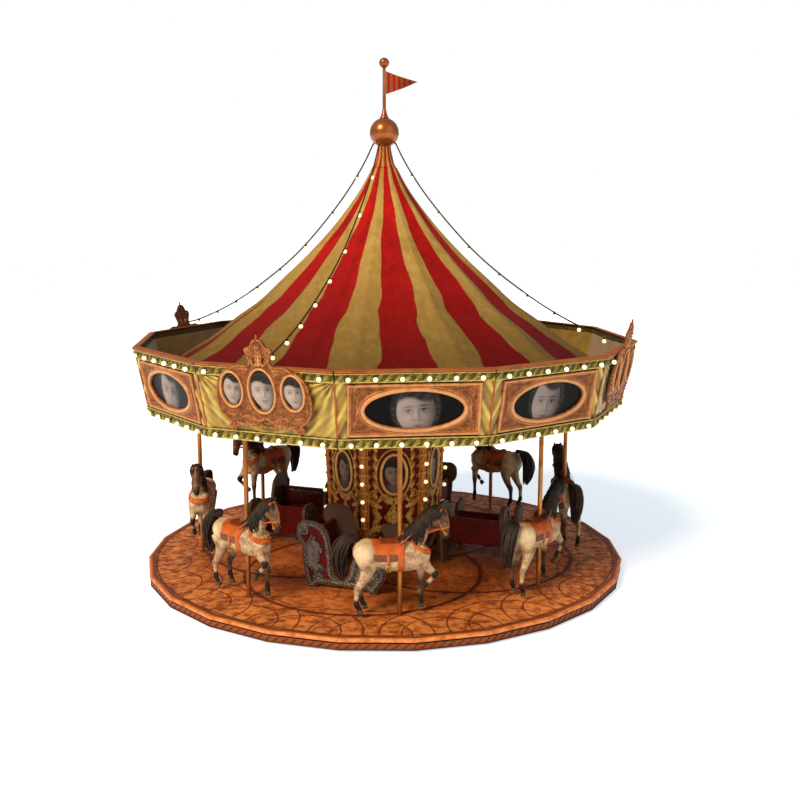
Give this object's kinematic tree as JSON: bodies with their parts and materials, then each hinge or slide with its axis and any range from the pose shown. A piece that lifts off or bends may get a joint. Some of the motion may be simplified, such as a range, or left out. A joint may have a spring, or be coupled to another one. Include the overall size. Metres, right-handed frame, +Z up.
{
  "type": "merry-go-round",
  "caption": "Fairground merry-go-round: a turning deck and striped tent roof on a centre mast, with rising horses on poles, chariots and a lamp-lit twelve-sided rim.",
  "frame": {"origin": "on the turning axis at ground level", "axes": "+Z up along the mast; the flag streams towards +X; azimuth 0 faces -Y"},
  "size_m": [7.4176, 7.4176, 7.4746],
  "materials": {
    "iron": "matte black paint",
    "steel": "satin",
    "motor_paint": "satin enamel",
    "roof_paint": "satin enamel",
    "deck_wood": "varnished, painted lines",
    "deck_rim": "varnished, carved",
    "frame_timber": "oiled",
    "rim_cloth": "gold satin on board",
    "gilt_moulding": "carved and gilded, aged",
    "carved_copper": "carved, copper gilt",
    "portrait": "varnished sepia painting",
    "canvas": "red and gold striped canvas",
    "ball_copper": "worn copper",
    "flag_cloth": "striped",
    "lamp_glass": "warm white, lit",
    "cable": "matte",
    "post_gilt": "orange gilt",
    "casing_panel": "dark red with gold filigree",
    "chariot_carved": "silver-grey carving on dark red",
    "chariot_seat": "dark red enamel",
    "pole_brass": "aged",
    "horse_paint": "painted dapple"
  },
  "bodies": {
    "base": {"base_plate": "iron", "ground_sleepers": "iron", "levelling_feet": "iron", "centre_mast": "steel", "mast_bearings": "steel", "drive_unit": "motor_paint", "crank_track": "steel"},
    "turntable": {"lower_hub": "steel", "ring_gear": "iron", "roof_hub": "steel", "roof_frame": "roof_paint", "crank_hangers": "iron", "casing_posts": "post_gilt", "casing_panels": "casing_panel", "casing_ovals": "carved_copper", "deck_frame": "frame_timber", "deck_boards": "deck_wood", "deck_rim": "deck_rim", "rim_panels": "rim_cloth", "rim_mouldings": "gilt_moulding", "panel_frames": "carved_copper", "portraits": "portrait", "crest_boards": "carved_copper", "canopy": "canvas", "finial": "ball_copper", "pennant": "flag_cloth", "lamp_bulbs": "lamp_glass", "festoon_bulbs": "lamp_glass", "chariot_sides": "chariot_carved", "chariot_seats": "chariot_seat", "guide_rods": "steel", "festoon_cable_1": "cable", "festoon_cable_2": "cable", "festoon_cable_3": "cable", "festoon_cable_4": "cable"},
    "drive_shaft": {"drive_pinion": "steel"},
    "crank_1_shaft": {"crank_1": "iron"},
    "crank_2_shaft": {"crank_2": "iron"},
    "crank_3_shaft": {"crank_3": "iron"},
    "crank_4_shaft": {"crank_4": "iron"},
    "crank_5_shaft": {"crank_5": "iron"},
    "crank_6_shaft": {"crank_6": "iron"},
    "crank_7_shaft": {"crank_7": "iron"},
    "crank_8_shaft": {"crank_8": "iron"},
    "horse_1_carriage": {"horse_1": "horse_paint", "pole_1": "pole_brass"},
    "horse_2_carriage": {"horse_2": "horse_paint", "pole_2": "pole_brass"},
    "horse_3_carriage": {"horse_3": "horse_paint", "pole_3": "pole_brass"},
    "horse_4_carriage": {"horse_4": "horse_paint", "pole_4": "pole_brass"},
    "horse_5_carriage": {"horse_5": "horse_paint", "pole_5": "pole_brass"},
    "horse_6_carriage": {"horse_6": "horse_paint", "pole_6": "pole_brass"},
    "horse_7_carriage": {"horse_7": "horse_paint", "pole_7": "pole_brass"},
    "horse_8_carriage": {"horse_8": "horse_paint", "pole_8": "pole_brass"}
  },
  "joints": [
    {"name": "turntable_spin", "type": "hinge", "parent": "base", "child": "turntable", "pos_m": [0, 0, 0.62], "axis": [0, 0, 1], "continuous": true},
    {"name": "drive_pinion_spin", "type": "hinge", "parent": "base", "child": "drive_shaft", "pos_m": [0.45, 0, 0.56], "axis": [0, 0, 1], "continuous": true},
    {"name": "crank_1_spin", "type": "hinge", "parent": "turntable", "child": "crank_1_shaft", "pos_m": [0, 0, 2.66], "axis": [0.0802, -0.9968, 0], "continuous": true},
    {"name": "crank_2_spin", "type": "hinge", "parent": "turntable", "child": "crank_2_shaft", "pos_m": [0, 0, 2.66], "axis": [0.7615, -0.6481, 0], "continuous": true},
    {"name": "crank_3_spin", "type": "hinge", "parent": "turntable", "child": "crank_3_shaft", "pos_m": [0, 0, 2.66], "axis": [0.9968, 0.0802, 0], "continuous": true},
    {"name": "crank_4_spin", "type": "hinge", "parent": "turntable", "child": "crank_4_shaft", "pos_m": [0, 0, 2.66], "axis": [0.6481, 0.7615, 0], "continuous": true},
    {"name": "crank_5_spin", "type": "hinge", "parent": "turntable", "child": "crank_5_shaft", "pos_m": [0, 0, 2.66], "axis": [-0.0802, 0.9968, 0], "continuous": true},
    {"name": "crank_6_spin", "type": "hinge", "parent": "turntable", "child": "crank_6_shaft", "pos_m": [0, 0, 2.66], "axis": [-0.7615, 0.6481, 0], "continuous": true},
    {"name": "crank_7_spin", "type": "hinge", "parent": "turntable", "child": "crank_7_shaft", "pos_m": [0, 0, 2.66], "axis": [-0.9968, -0.0802, 0], "continuous": true},
    {"name": "crank_8_spin", "type": "hinge", "parent": "turntable", "child": "crank_8_shaft", "pos_m": [0, 0, 2.66], "axis": [-0.6481, -0.7615, 0], "continuous": true},
    {"name": "horse_1_slide", "type": "slide", "parent": "turntable", "child": "horse_1_carriage", "axis": [0, 0, 1], "range_m": [-0.022, 0.178]},
    {"name": "horse_2_slide", "type": "slide", "parent": "turntable", "child": "horse_2_carriage", "axis": [0, 0, 1], "range_m": [-0.022, 0.178]},
    {"name": "horse_3_slide", "type": "slide", "parent": "turntable", "child": "horse_3_carriage", "axis": [0, 0, 1], "range_m": [-0.058, 0.142]},
    {"name": "horse_4_slide", "type": "slide", "parent": "turntable", "child": "horse_4_carriage", "axis": [0, 0, 1], "range_m": [-0.094, 0.106]},
    {"name": "horse_5_slide", "type": "slide", "parent": "turntable", "child": "horse_5_carriage", "axis": [0, 0, 1], "range_m": [-0.13, 0.07]},
    {"name": "horse_6_slide", "type": "slide", "parent": "turntable", "child": "horse_6_carriage", "axis": [0, 0, 1], "range_m": [-0.148, 0.052]},
    {"name": "horse_7_slide", "type": "slide", "parent": "turntable", "child": "horse_7_carriage", "axis": [0, 0, 1], "range_m": [-0.058, 0.142]},
    {"name": "horse_8_slide", "type": "slide", "parent": "turntable", "child": "horse_8_carriage", "axis": [0, 0, 1], "range_m": [-0.022, 0.178]}
  ],
  "couplings": [
    {"joint": "drive_pinion_spin", "follows": "turntable_spin", "ratio": -4},
    {"joint": "crank_1_spin", "follows": "turntable_spin", "ratio": -6.6667},
    {"joint": "crank_2_spin", "follows": "turntable_spin", "ratio": -6.6667},
    {"joint": "crank_3_spin", "follows": "turntable_spin", "ratio": -6.6667},
    {"joint": "crank_4_spin", "follows": "turntable_spin", "ratio": -6.6667},
    {"joint": "crank_5_spin", "follows": "turntable_spin", "ratio": -6.6667},
    {"joint": "crank_6_spin", "follows": "turntable_spin", "ratio": -6.6667},
    {"joint": "crank_7_spin", "follows": "turntable_spin", "ratio": -6.6667},
    {"joint": "crank_8_spin", "follows": "turntable_spin", "ratio": -6.6667}
  ]
}
